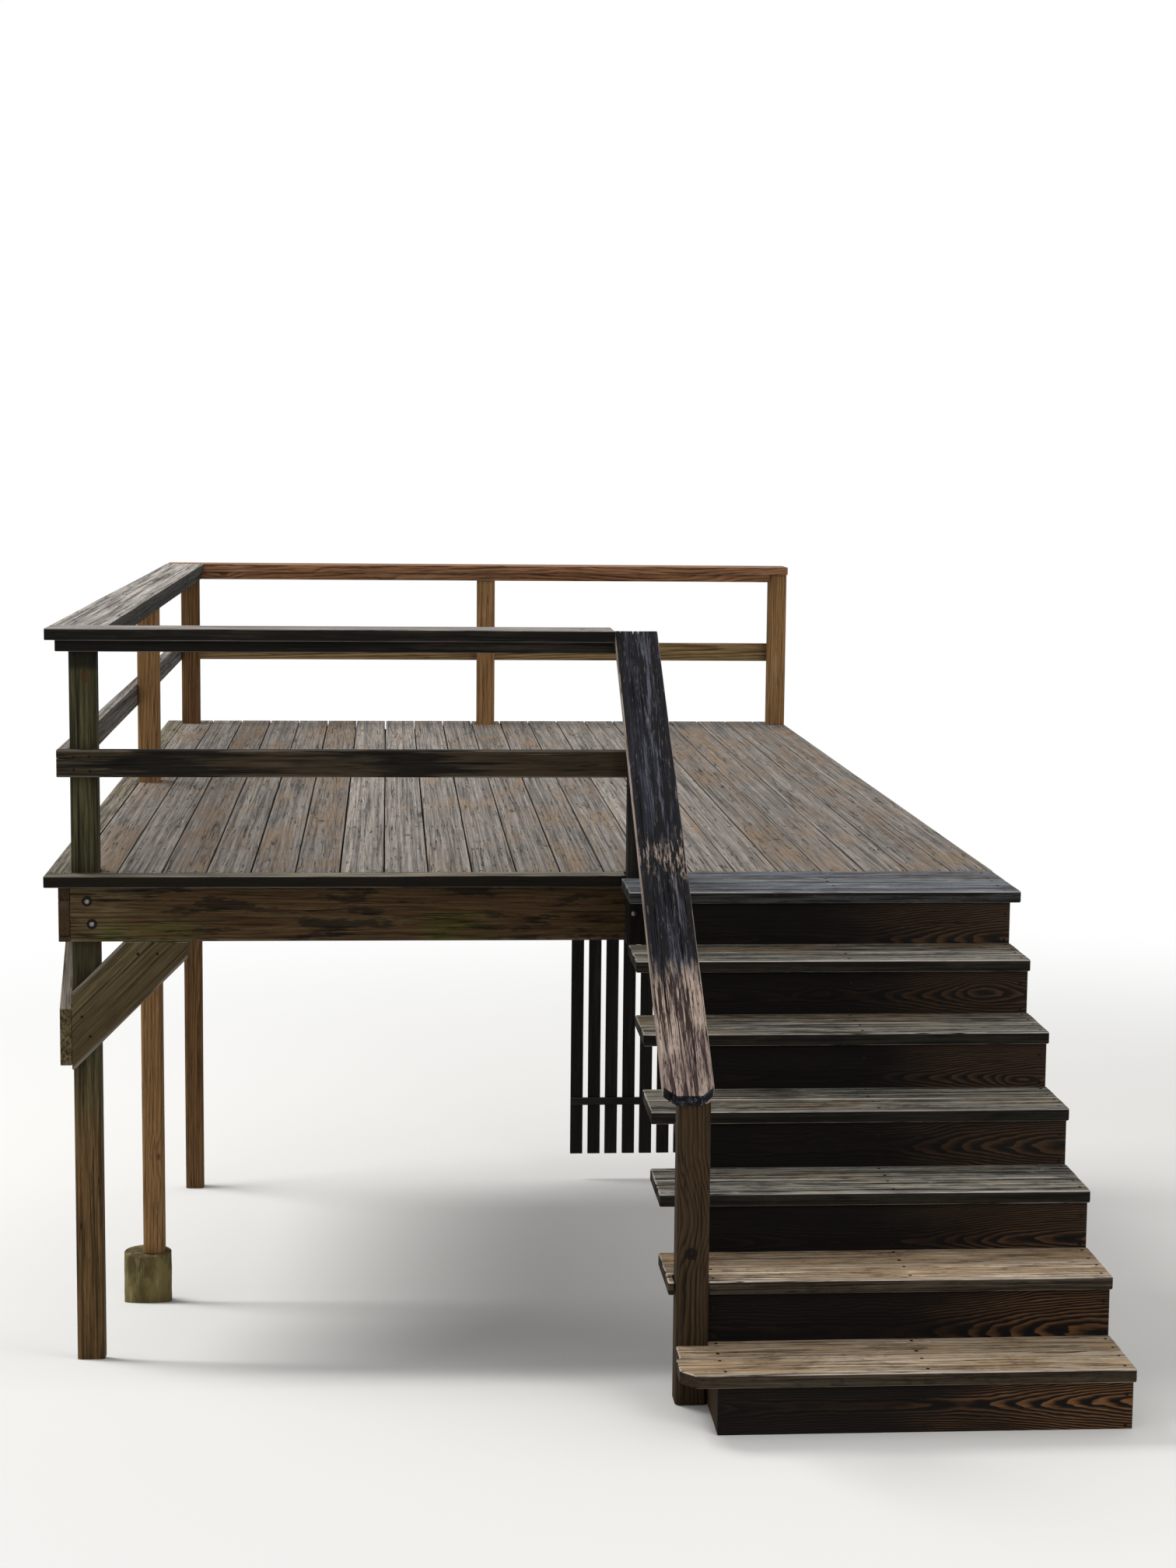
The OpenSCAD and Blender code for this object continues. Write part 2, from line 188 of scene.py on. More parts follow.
class Value:
    """The output of a shader node, so that sums and products of it are written as such."""

    def __init__(self, finish, socket):
        self.finish = finish
        self.socket = socket

    def maths(self, operation, *others):
        """A Math node on this value and others."""
        return self.finish.node("ShaderNodeMath", {"operation": operation}, dict(enumerate((self, *others))))

    def __add__(self, other):
        return self.maths("ADD", other)

    def __mul__(self, other):
        return self.maths("MULTIPLY", other)

    def __sub__(self, other):
        return self.maths("SUBTRACT", other)

    def __truediv__(self, other):
        return self.maths("DIVIDE", other)

    def __rsub__(self, other):
        return self.finish.node("ShaderNodeMath", {"operation": "SUBTRACT"}, {0: other, 1: self})

    def __abs__(self):
        return self.maths("ABSOLUTE")

    __radd__ = __add__
    __rmul__ = __mul__

    def between(self, low, high):
        """0 at low, 1 at high, and a smooth step from one to the other."""
        return self.finish.node("ShaderNodeMapRange", {"interpolation_type": "SMOOTHSTEP"},
                                {0: self, 1: low, 2: high})

    def vector(self, operation, others, output=0):
        """A Vector Math node on this value and others."""
        return self.finish.node("ShaderNodeVectorMath", {"operation": operation}, {0: self} | others, output)

    def scaled(self, x, y, z):
        """A vector with each of its parts multiplied."""
        return self.vector("MULTIPLY", {1: (x, y, z)})

    def lit(self, factor):
        """A colour made lighter or darker by a factor."""
        return self.vector("SCALE", {3: factor})

    def size(self):
        """How long a vector is."""
        return self.vector("LENGTH", {}, "Value")

    def part(self, number):
        """One part of a vector."""
        return self.finish.node("ShaderNodeSeparateXYZ", {}, {0: self}, number)

    def speckle(self, detail=3.0, roughness=0.5):
        """Noise over a vector that has been scaled to the size of the pattern."""
        inputs = {"Vector": self, "Scale": 1.0, "Detail": detail, "Roughness": roughness}
        return self.finish.node("ShaderNodeTexNoise", {}, inputs)

    def nearest(self):
        """How far the closest of many scattered points is, over a vector that has been scaled."""
        return self.finish.node("ShaderNodeTexVoronoi", {}, {"Vector": self, "Scale": 1.0})


class Finish:
    """A material or a world that is put together from expressions."""

    def __init__(self, owner):
        owner.use_nodes = True
        self.owner = owner
        self.looks = bpy.context.scene.deck_colours
        self.tree = owner.node_tree
        self.tree.nodes.clear()

    def node(self, kind, settings, inputs, output=0):
        """Adds a node with its settings, then the values or links of its sockets."""
        made = self.tree.nodes.new(kind)
        for name, setting in settings.items():
            setattr(made, name, setting)
        for key, value in inputs.items():
            if isinstance(value, Value):
                self.tree.links.new(value.socket, made.inputs[key])
            else:
                made.inputs[key].default_value = value
        return Value(self, made.outputs[output])

    def attribute(self, name, output="Vector"):
        return self.node("ShaderNodeAttribute", {"attribute_name": name}, {}, output)

    def place(self):
        return self.node("ShaderNodeTexCoord", {}, {}, "Object")

    def upward(self):
        """1 on faces that look up, 0 on upright ones and -1 on those that look down."""
        return self.node("ShaderNodeNewGeometry", {}, {}, "Normal").part(2)

    def mixed(self, factor, first, second):
        """A colour that goes from first to second as the factor goes from 0 to 1."""
        first, second = [c if isinstance(c, Value) else (*c, 1.0) for c in (first, second)]
        return self.node("ShaderNodeMix", {"data_type": "RGBA"}, {0: factor, 6: first, 7: second}, 2)

    def closed(self, base, roughness, height, depth, metallic=0.0):
        """Ends the material in a Principled shader, with bumps of a depth."""
        bumps = self.node("ShaderNodeBump", {}, {"Strength": 1.0, "Distance": depth, "Height": height})
        inputs = {"Base Color": base, "Roughness": roughness, "Metallic": metallic, "Normal": bumps}
        return self.ended(self.node("ShaderNodeBsdfPrincipled", {}, inputs | {"Specular IOR Level": 0.12}))

    def ended(self, shader, kind="ShaderNodeOutputMaterial"):
        """Links a shader to the output, and gives the material or the world."""
        out = self.tree.nodes.new(kind)
        self.tree.links.new(shader.socket, out.inputs["Surface"])
        return self.owner


def timber(name, heart, ring, grey_dark, grey_light, greyed=0.5, mouldy=0.2, ring_gap=0.007, ring_show=0.6,
           taper=0.02, cracked=0.6, worn=0.2, shaded=0.0, dirty=0.0, contrast=1.0, drawn=1.0, eye=None,
           local=None):
    """Sawn wood that has weathered. Growth rings run round a pith that lies off the middle of each board.

    From 0 to 1, greyed and mouldy are the shares that are grey and black, and ring_show, cracked and dirty
    say how plain the rings, the cracks and the soil are. The weight of the pale edges, also from 0 to 1, is
    partly wear and partly a painted highlight on the eased edges that tilt up, and shaded says how dark
    painted shade makes the faces that don't look up. ring_gap is a ring's width, taper how fast the rings
    drift along a board, contrast how far apart the greys are, and drawn how long the streaks are. eye is a
    spot that the rings close round: its place along the board, how far from it the rings bend and by how
    much. local is a function that takes the finish, the colour and the patterns, and paints what only these
    boards have."""
    wood = Finish(bpy.data.materials.new(name))
    looks = wood.looks
    grain = wood.attribute("grain")
    span = wood.attribute("span")
    tone = wood.attribute("tone", "Fac")
    along, across, through = grain.part(0), grain.part(1), grain.part(2)
    up = wood.upward()

    knot = grain.scaled(2.6, 4.6, 4.6).nearest()
    wander = grain.scaled(0.9, 6, 6).speckle(2)
    pith = (across * across + through * through).maths("SQRT")
    rings = pith + wander * 0.030 + along * taper - (1 - knot.between(0.02, 0.34)) * 0.011
    if eye:
        spot, reach, rise = eye
        ripple = grain.scaled(5, 16, 16).speckle(3, 0.6)
        rings = rings + abs(span.part(0) - spot - tone * 0.3 + wander * 0.3).between(0.0, reach) * rise
        rings = rings + ripple * 0.014
    ring_place = (rings / ring_gap).maths("FRACT")
    late = ring_place.between(0.25, 0.88) * (1 - ring_place.between(0.90, 1.0))
    fibre = grain.scaled(9 / drawn, 280, 280).speckle(3, 0.6)
    strand = grain.scaled(2.6 / drawn, 105, 105).speckle(5, 0.68)
    streak = grain.scaled(1.2 / drawn, 42, 42).speckle(4, 0.65)
    patch = grain.scaled(1.9, 8, 8).speckle(4, 0.6)
    blotch = grain.scaled(3.1, 11, 11).speckle(5, 0.65)
    thread = strand * 0.6 + streak * 0.4
    late = late * (strand.between(0.62, 0.40) * 0.5 + 0.5)

    fresh = wood.mixed(late * ring_show, heart, ring)
    spread = 0.10 / contrast
    grey = wood.mixed(thread.between(0.5 - spread, 0.5 + spread), grey_dark, grey_light)
    grey = wood.mixed(late * ring_show * 0.5, grey, grey_dark)
    grey_part = (patch * 0.7 + streak * 0.3 + tone * 0.16).between(0.78 - 0.5 * greyed, 0.98 - 0.5 * greyed)
    base = wood.mixed(grey_part, fresh, grey)

    heartwood = 1 - knot.between(0.045, 0.075)
    base = wood.mixed(heartwood * 0.75, base, looks.ring)
    mould_part = (blotch * 0.62 + strand * 0.38).between(0.72 - 0.42 * mouldy, 0.84 - 0.42 * mouldy)
    base = wood.mixed(mould_part * 0.85, base, looks.mould_and_shadow)
    if dirty:
        soil = grain.scaled(10, 24, 24).speckle(6, 0.75)
        base = wood.mixed(soil.between(0.52, 0.62) * dirty, base, colour(38, 35, 30))
        bleached = wood.mixed(0.5, grey_light, looks.silver)
        base = wood.mixed((1 - soil.between(0.36, 0.44)) * dirty, base, bleached)
    # Painted shade: faces that don't look up are darkened, as much as shaded says
    if shaded:
        base = wood.mixed((1 - up.between(0.25, 0.8)) * shaded, base, looks.side_shade)
    # Pale edges: wear along the arrises, and a painted highlight on the eased edges that tilt up
    arris = (abs(span.part(1)) * abs(span.part(2))).between(0.84, 0.92) * 0.7
    nosing = up.between(0.08, 0.35) * (1 - up.between(0.93, 0.995))
    pale_edges_worn_and_lit = arris.maths("MAXIMUM", nosing) * worn * strand.between(0.34, 0.46)
    base = wood.mixed(pale_edges_worn_and_lit, base, wood.mixed(0.65, grey_light, looks.silver))
    if local:
        base = local(wood, base, strand, streak, blotch)

    hairline = abs(grain.scaled(0.9, 40, 40).speckle(3, 0.55) - 0.5)
    crack = (1 - hairline.between(0.003, 0.014)) * blotch.between(0.42, 0.56) * cracked
    pores = strand.between(0.57, 0.64) * fibre.between(0.45, 0.56) * cracked
    base = wood.mixed(crack.maths("MAXIMUM", pores * 0.8), base, looks.mould_and_shadow)
    streaked = ((strand - 0.5) * (2.0 * contrast) + 1.0).maths("MAXIMUM", 0.3)
    base = base.lit((fibre * 1.3 + 0.35) * streaked * (tone * 0.44 + 0.78))
    height = fibre * 0.25 + late * 0.30 + thread * 0.9 - crack * 1.2 - pores * 0.5
    roughness = 0.74 + streak * 0.2
    return wood.closed(base, roughness, height, 0.0018)


def riser_grain(wood, base, strand, streak, blotch):
    """Risers are painted dark away from the wall, painted shade with a little dirt in it, and their rings
    show near the wall.
    """
    place = wood.place()
    # Painted shade: near black towards the left and clear near the wall; the blotches add a little dirt
    unshaded = (place.part(0) + (blotch - 0.5) * 0.5).between(-0.66, -0.16)
    shade_and_dirt = (1 - unshaded) * 0.90 + (1 - blotch.between(0.30, 0.62)) * 0.08
    base = wood.mixed(place.part(2).between(-0.95, -0.55) * 0.55, base, colour(32, 29, 25))
    return wood.mixed(shade_and_dirt, base, colour(8, 7, 6))


def tread_wear_and_light(wood, base, strand, streak, blotch):
    """Treads are pale in patches on their tops, partly wear where feet go and partly painted sunlight, and
    darker along the long edges of their tops, a painted shade as in the corner with the riser behind them.
    """
    top = wood.upward().between(0.6, 0.95)
    # Pale patches on the tops: wear, and painted patches of sunlight
    worn_and_sunlit_patch = (blotch * 0.7 + streak * 0.3).between(0.50, 0.60) * strand.between(0.40, 0.55)
    base = wood.mixed(top * worn_and_sunlit_patch * 0.6, base, colour(158, 146, 126))
    # Painted shade along both long edges of the top
    edge = abs(wood.attribute("span").part(1)).between(0.75, 1.0) * (1 - blotch.between(0.4, 0.6))
    return wood.mixed(top * edge * 0.5, base, colour(30, 28, 24))


def rim_moss(wood, base, strand, streak, blotch):
    """Moss grows in two spots low on the front rim, and damp has blackened the rest in runs."""
    place = wood.place()
    x, low = place.part(0), 1 - place.part(2).between(-0.03, 0.03)
    black = place.scaled(4, 4, 17).speckle(5, 0.65).between(0.53, 0.60)
    base = wood.mixed(black * 0.7, base, wood.looks.mould_and_shadow)
    near = (1 - x.between(-2.86, -2.55)) * x.between(-2.99, -2.93)
    far = (1 - x.between(-1.76, -1.62)) * x.between(-1.94, -1.84)
    moss = near.maths("MAXIMUM", far * 0.7) * low * (blotch + strand * 0.6).between(0.72, 0.86)
    base = wood.mixed(moss * 0.75, base, wood.looks.moss)
    weathered = 1 - x.between(-2.96, -2.72)
    return wood.mixed(weathered * strand.between(0.42, 0.60) * 0.6, base, colour(104, 90, 62))


def handrail_flakes_and_light(wood, base, strand, streak, blotch):
    """The foot of the handrail is pale on its top, a painted patch of sunlight, pale flakes are scattered
    higher up, and its side edges get a painted highlight.
    """
    flake_and_sunlight = wood.looks.flake_and_sunlight
    grain, span = wood.attribute("grain"), wood.attribute("span")
    along, side = span.part(0), span.part(1)
    fleck = grain.scaled(14, 120, 120).speckle(4, 0.75)
    line = grain.scaled(4.5, 95, 95).speckle(4, 0.7)
    middle = 1 - abs(side).between(0.25, 0.9)
    band = 1 - abs(along + 0.07 + (blotch - 0.5) * 0.2).between(0.03, 0.10)
    right = side.between(-0.45, 0.25) * 0.6 + 0.4
    base = wood.mixed(line.between(0.50, 0.61) * (middle * 0.42 + 0.12) * right, base, colour(112, 114, 128))
    flecks = fleck.between(0.58, 0.66) * 0.20 + fleck.between(0.51, 0.58) * band * 0.55
    base = wood.mixed(flecks, base, flake_and_sunlight)
    # Painted sunlight: a pale patch on the top of the foot
    foot = 1 - (along + (blotch - 0.5) * 0.25 + (strand - 0.5) * 0.3).between(-0.60, -0.50)
    foot = foot * wood.upward().between(0.2, 0.6)
    pale = wood.mixed(line.between(0.43, 0.55), colour(58, 43, 38), flake_and_sunlight)
    pale = wood.mixed(fleck.between(0.53, 0.60) * 0.8, pale, colour(38, 30, 28))
    soiled = (1 - along.between(-1.0, -0.66)) * blotch.between(0.35, 0.6)
    pale = wood.mixed(soiled * 0.7, pale, colour(66, 50, 54))
    base = wood.mixed(foot * 0.92, base, pale)
    # Painted highlight along both side edges
    edge = abs(side).between(0.95, 0.985)
    return wood.mixed(edge * (strand.between(0.38, 0.50) * 0.55 + 0.10), base, flake_and_sunlight)


def silver_top(wood, base, strand, streak, blotch):
    """The top of the front cap is silver grey above its dark face: partly weathering, and partly painted
    light that makes the top lighter than the faces below it.
    """
    top = wood.upward().between(0.6, 0.95)
    silver = wood.mixed(strand.between(0.38, 0.60), colour(84, 80, 76), wood.looks.silver)
    return wood.mixed(top * 0.85, base, silver)


def rail_mould(wood, base, strand, streak, blotch):
    """Two black runs along the front middle rail."""
    x = wood.place().part(0) + (blotch - 0.5) * 0.3 + (streak - 0.5) * 1.1 + (strand - 0.5) * 0.4
    first = x.between(-2.90, -2.83) * (1 - x.between(-2.58, -2.44))
    second = x.between(-2.14, -2.00) * (1 - x.between(-1.80, -1.72))
    return wood.mixed(first.maths("MAXIMUM", second) * 0.85, base, wood.looks.mould_and_shadow)


def post_foot(wood, base, strand, streak, blotch):
    """The front post has a painted shadow of the cap at its top, and is browner below its brace."""
    height = wood.place().part(2)
    low = 1 - (height + blotch * 0.2).between(-0.75, -0.35)
    brown = wood.mixed(strand.between(0.4, 0.6), colour(74, 55, 31), wood.looks.post)
    base = wood.mixed(low * 0.75, base, brown)
    # Painted shadow of the cap: a black band at the top of the post
    return wood.mixed(height.between(0.78, 0.81) * 0.8, base, wood.looks.mould_and_shadow)


def make_finishes():
    """Makes every material of the deck, once."""
    c = bpy.context.scene.deck_colours

    def wood(name, *colours, **weathering):
        FINISHES[name] = timber(name + "_wood", *colours, **weathering)

    wood("decking", c.tan, c.brown, c.grey_dark, c.grey, greyed=0.72, mouldy=0.27, ring_gap=0.008,
         ring_show=0.40, cracked=0.9, shaded=0.5, dirty=0.15, contrast=0.55, drawn=2.6)
    wood("edging", colour(104, 92, 72), c.brown, colour(58, 55, 48), colour(128, 120, 104), greyed=0.7,
         mouldy=0.30, ring_show=0.4, cracked=0.8, worn=0.5, shaded=1.0)
    wood("landing", c.tan, c.brown, colour(38, 42, 49), colour(112, 116, 122), greyed=0.90, mouldy=0.30,
         ring_show=0.35, cracked=0.9, worn=0.8, shaded=0.85, dirty=0.5, contrast=1.5)
    wood("tread", colour(120, 100, 74), c.brown, colour(44, 45, 42), colour(130, 126, 116), greyed=0.76,
         mouldy=0.34, ring_show=0.5, cracked=1.0, worn=1.0, shaded=0.96, dirty=0.6, contrast=1.6,
         local=tread_wear_and_light)
    wood("low_tread", colour(166, 140, 110), c.brown, colour(90, 77, 63), colour(204, 184, 158), greyed=0.55,
         mouldy=0.26, ring_show=0.5, cracked=1.0, worn=1.0, shaded=0.92, dirty=0.5, contrast=1.5,
         local=tread_wear_and_light)
    wood("riser", c.riser, c.riser_ring, colour(14, 11, 8), colour(40, 31, 23), greyed=0.10, mouldy=0.26,
         ring_gap=0.0056, ring_show=0.9, taper=0.01, cracked=0.4, worn=0.0, eye=(1.08, 1.1, 0.042),
         local=riser_grain)
    wood("front_rim", c.rim, c.ring, colour(34, 28, 18), colour(96, 80, 54), greyed=0.38, mouldy=0.36,
         ring_gap=0.008, ring_show=0.9, cracked=0.9, contrast=1.5, local=rim_moss)
    wood("frame", c.brown, c.ring, colour(36, 29, 20), colour(68, 55, 38), greyed=0.40, mouldy=0.35, worn=0.1)
    wood("front_post", c.post_olive, c.brown, colour(32, 32, 20), colour(80, 75, 50), greyed=0.55,
         mouldy=0.22, ring_gap=0.006, cracked=0.7, worn=0.5, local=post_foot)
    wood("post", c.post, c.ring, colour(74, 55, 36), colour(122, 96, 66), greyed=0.40, mouldy=0.14,
         ring_gap=0.010, ring_show=0.75, worn=0.35)
    # Painted sunlight: the post wood made lighter for the posts in sun
    wood("sunlit_post", colour(142, 108, 70), c.ring, colour(102, 78, 50), colour(164, 134, 96), greyed=0.35,
         mouldy=0.12, ring_gap=0.010, ring_show=0.5, worn=0.35)
    wood("newel", c.newel, colour(24, 16, 10), colour(32, 25, 16), colour(86, 72, 52), greyed=0.24,
         ring_gap=0.0085, ring_show=1.0, taper=0.01, cracked=0.9, worn=0.8, eye=(0.05, 0.45, 0.026))
    wood("brace", colour(72, 61, 41), c.brown, colour(44, 37, 24), colour(94, 82, 58), greyed=0.60,
         mouldy=0.16, ring_gap=0.008, ring_show=0.5, cracked=0.5, worn=0.6)
    wood("dark_rail", c.rail_dark, c.mould_and_shadow, colour(12, 11, 10), colour(52, 47, 41), greyed=0.45, mouldy=0.42,
         worn=0.55, shaded=0.30, local=silver_top)
    wood("mid_rail", colour(56, 48, 36), c.brown, colour(24, 21, 16), colour(70, 62, 50), mouldy=0.34,
         ring_gap=0.006, cracked=0.8, worn=0.4, contrast=1.5, local=rail_mould)
    wood("handrail", c.handrail, c.mould_and_shadow, colour(9, 9, 13), colour(62, 64, 80), mouldy=0.38, ring_gap=0.006,
         ring_show=0.5, cracked=1.0, worn=0.0, contrast=1.3, local=handrail_flakes_and_light)
    # The cap is the same wood as the side middle rail, with more painted shade on the faces that don't look
    # up
    for name, shaded in (("silver_rail", 0.45), ("silver_cap", 0.88)):
        wood(name, c.tan, c.brown, colour(70, 66, 62), c.silver, greyed=0.95, mouldy=0.26, ring_show=0.3,
             cracked=0.9, worn=0.3, shaded=shaded, contrast=0.9, drawn=2.4)
    # The rear middle rail: its own tan, made lighter with painted sunlight
    wood("orange_rail", c.orange, c.ring, colour(96, 76, 46), colour(150, 122, 80), greyed=0.30, mouldy=0.12,
         ring_gap=0.010, ring_show=0.8, cracked=0.5, worn=0.3)
    wood("russet_rail", colour(132, 94, 64), colour(66, 38, 26), colour(86, 62, 46), colour(142, 112, 84),
         greyed=0.28, mouldy=0.14, ring_gap=0.009, ring_show=0.95, cracked=0.5, worn=0.6,
         eye=(0.6, 0.5, 0.03))
    wood("screen", c.screen, c.mould_and_shadow, colour(18, 16, 14), colour(44, 40, 36), greyed=0.4, mouldy=0.4,
         ring_show=0.4, cracked=0.4, worn=0.1)
    FINISHES["concrete"] = cast_concrete(c)
    FINISHES["steel"] = dull_steel("galvanised_steel", c.steel, c.rust, 0.35)
    FINISHES["rusty"] = dull_steel("rusted_steel", c.rust, colour(24, 18, 15), 0.5)


def cast_concrete(c):
    """Concrete cast in a tube, darker towards its foot."""
    stone = Finish(bpy.data.materials.new("cast_concrete"))
    place = stone.place()
    cloud = place.scaled(9, 9, 5).speckle(5, 0.6)
    runs = place.scaled(34, 34, 5).speckle(4, 0.65)
    pores = place.scaled(160, 160, 160).speckle(2)
    pit = 1 - pores.between(0.26, 0.34)
    low_dark = 1 - (place.part(2) + cloud * 0.12).between(-2.10, -1.98)
    base = stone.mixed(cloud.between(0.42, 0.60), c.concrete, colour(78, 69, 42))
    base = stone.mixed(runs.between(0.52, 0.66) * 0.55, base, colour(150, 138, 102))
    base = stone.mixed(low_dark * 0.65, base, colour(62, 52, 34))
    base = stone.mixed(pit * 0.6, base, colour(70, 62, 50))
    return stone.closed(base, 0.88, cloud * 0.5 - pit * 0.8 + pores * 0.3, 0.002)


def dull_steel(name, metal, stain, stained):
    """Steel hardware with stains."""
    steel = Finish(bpy.data.materials.new(name))
    cloud = steel.place().scaled(220, 220, 220).speckle(4, 0.6)
    part = cloud.between(0.62 - 0.4 * stained, 0.78 - 0.4 * stained)
    base = steel.mixed(part, metal, stain)
    return steel.closed(base, 0.42 + part * 0.4, cloud, 0.0004, 0.8 - part * 0.6)


def plain_floor(c):
    """The pale floor of the stage, which the camera sees fade into the white background."""
    floor = Finish(bpy.data.materials.new("pale_floor"))
    matt = floor.node("ShaderNodeBsdfDiffuse", {}, {"Color": (*c.floor, 1.0)})
    white = floor.node("ShaderNodeEmission", {}, {"Color": (1, 1, 1, 1), "Strength": 1.0})
    far = floor.place().size().between(FADE_FROM, FADE_TO)
    seen = floor.node("ShaderNodeLightPath", {}, {}, "Is Camera Ray")
    return floor.ended(floor.node("ShaderNodeMixShader", {}, {0: far * seen, 1: matt, 2: white}))


def studio_world():
    """A dim white light from all round, which the camera, gloss and glass see as plain white."""
    world = Finish(bpy.data.worlds.new("studio"))
    dim, white = (world.node("ShaderNodeBackground", {}, {"Color": (1, 1, 1, 1), "Strength": strength})
                  for strength in (WORLD_LIGHT, 1.0))
    camera, glossy, through = (world.node("ShaderNodeLightPath", {}, {}, f"Is {ray} Ray")
                               for ray in ("Camera", "Glossy", "Transmission"))
    seen = camera.maths("MAXIMUM", glossy.maths("MAXIMUM", through))
    shader = world.node("ShaderNodeMixShader", {}, {0: seen, 1: dim, 2: white})
    return world.ended(shader, "ShaderNodeOutputWorld")


def placed(name, data):
    """A new object in the scene, with a mesh, a lamp or a camera as its data."""
    made = bpy.data.objects.new(name, data)
    bpy.context.scene.collection.objects.link(made)
    return made


def choose(piece):
    """Makes one object the only selected one, and the active one."""
    bpy.ops.object.select_all(action="DESELECT")
    piece.select_set(True)
    bpy.context.view_layer.objects.active = piece


def edit(piece):
    """Goes into edit mode on a piece with all of its mesh selected."""
    choose(piece)
    bpy.ops.object.mode_set(mode="EDIT")
    bpy.ops.mesh.select_all(action="SELECT")


def leave():
    bpy.ops.object.mode_set(mode="OBJECT")


def shaped(piece, operator, **settings):
    """Runs one of edit mode's operators on all of a piece's mesh."""
    edit(piece)
    operator(**settings)
    leave()


def joined(pieces, name):
    """One object out of several."""
    choose(pieces[0])
    for piece in pieces:
        piece.select_set(True)
    if len(pieces) > 1:
        bpy.ops.object.join()
    whole = bpy.context.view_layer.objects.active
    whole.name = whole.data.name = name
    return whole


def settled(piece):
    """Puts a piece's place into its mesh."""
    choose(piece)
    bpy.ops.object.transform_apply(location=True, rotation=True, scale=True)
    return piece


def added(primitive, **shape):
    """A new primitive, alone selected and with its place in its mesh."""
    bpy.ops.object.select_all(action="DESELECT")
    primitive(**shape)
    return settled(bpy.context.object)


def framed(right, up, back, place):
    """A matrix with the three given axes, at a place."""
    return Matrix.Translation(place) @ Matrix((right, up, back)).transposed().to_4x4()


def boards_in(mesh):
    """The numbers of the vertices of each separate board in a mesh."""
    owner = list(range(len(mesh.vertices)))

    def head(i):
        while owner[i] != i:
            owner[i] = owner[owner[i]]
            i = owner[i]
        return i

    for line in mesh.edges:
        a, b = line.vertices
        owner[head(a)] = head(b)
    groups = {}
    for i in range(len(owner)):
        groups.setdefault(head(i), []).append(i)
    return sorted(groups.values(), key=min)


def grain_axes(places, along):
    """Directions along, across and through a board. Where none is given, it runs along its longest side."""
    low = Vector([min(p[i] for p in places) for i in range(3)])
    high = Vector([max(p[i] for p in places) for i in range(3)])
    sides = sorted(zip(high - low, (0, 1, 2)), reverse=True)
    sides = [(X, Y, Z)[i] for _, i in sides]
    if along is None:
        return sides
    level = next(side for side in sides if abs(side.dot(along)) < 0.001)

    def reach(axis):
        return max(place.dot(axis) for place in places) - min(place.dot(axis) for place in places)

    return [along, *sorted((level, level.cross(along).normalized()), key=reach, reverse=True)]


def measured(mesh, board, along):
    """The points of one board, its axes, and its lowest and highest reach along each of them."""
    places = [mesh.vertices[i].co.copy() for i in board]
    axes = grain_axes(places, along)
    reach = [[place.dot(axis) for place in places] for axis in axes]
    return places, axes, [min(r) for r in reach], [max(r) for r in reach]


def mark_grain(piece, along, seed):
    """Gives each board its own stretch of grain, its span from end to end, and its own tone."""
    mesh = piece.data
    draw = random.Random(seed)
    grain, span, tone = ([0.0] * len(mesh.vertices) * count for count in (3, 3, 1))
    for board in boards_in(mesh):
        places, axes, low, high = measured(mesh, board, along)
        middle = [(a + b) / 2 for a, b in zip(low, high)]
        half = [max((b - a) / 2, 0.001) for a, b in zip(low, high)]
        pith = [draw.uniform(0, 40), draw.uniform(-0.5, 0.5) * half[1]]
        pith.append(draw.choice((-1, 1)) * draw.uniform(0.02, 0.07))
        shade = draw.random()
        for i, place in zip(board, places):
            local = [place.dot(axis) - m for axis, m in zip(axes, middle)]
            grain[3 * i:3 * i + 3] = [value + offset for value, offset in zip(local, pith)]
            span[3 * i:3 * i + 3] = [value / h for value, h in zip(local, half)]
            tone[i] = shade
    for name, kind, field, values in (("grain", "FLOAT_VECTOR", "vector", grain),
                                      ("span", "FLOAT_VECTOR", "vector", span),
                                      ("tone", "FLOAT", "value", tone)):
        mesh.attributes.new(name, kind, "POINT").data.foreach_set(field, values)


def split_board(axes, low, high, draw, splits, ends):
    """Matrices of the cracks in one board: some along its faces, some in from its ends."""
    sizes = bpy.context.scene.deck_sizes
    found = []

    def wedge(at, size, order):
        """Lays a wedge along the board. The order says which axes its length, width and depth follow."""
        centre = sum((axis * reach for axis, reach in zip(axes, at)), Vector())
        found.append(framed(*(axes[i] * extent for i, extent in zip(order, size)), centre))

    for _ in range(splits):
        narrow = draw.random() < NARROW_SHARE and high[2] - low[2] > NARROW_LEAST
        side, face = (2, 1) if narrow else (1, 2)
        at = [draw.uniform(a + SPLIT_CLEAR * (b - a), b - SPLIT_CLEAR * (b - a)) for a, b in zip(low, high)]
        at[side] = draw.uniform(low[side] + SPLIT_EDGE, high[side] - SPLIT_EDGE)
        at[face] = draw.choice((low[face], high[face]))
        length = min(draw.uniform(*FACE_SPLIT), SPLIT_MOST * (high[0] - low[0]))
        width = sizes.split_width / 2 * draw.uniform(0.6, 1.3)
        depth = sizes.split_depth * draw.uniform(0.6, 1.2)
        wedge(at, (length, width, depth), (0, side, face))
    for _ in range(ends):
        at = [draw.choice((low[0], high[0])), draw.uniform(low[1] + END_SPLIT_EDGE, high[1] - END_SPLIT_EDGE),
              (low[2] + high[2]) / 2]
        length = draw.uniform(*END_SPLIT)
        width = sizes.split_width / 2 * draw.uniform(0.6, 1.2)
        wedge(at, (length, width, (high[2] - low[2]) * 2), (0, 1, 2))
    return found


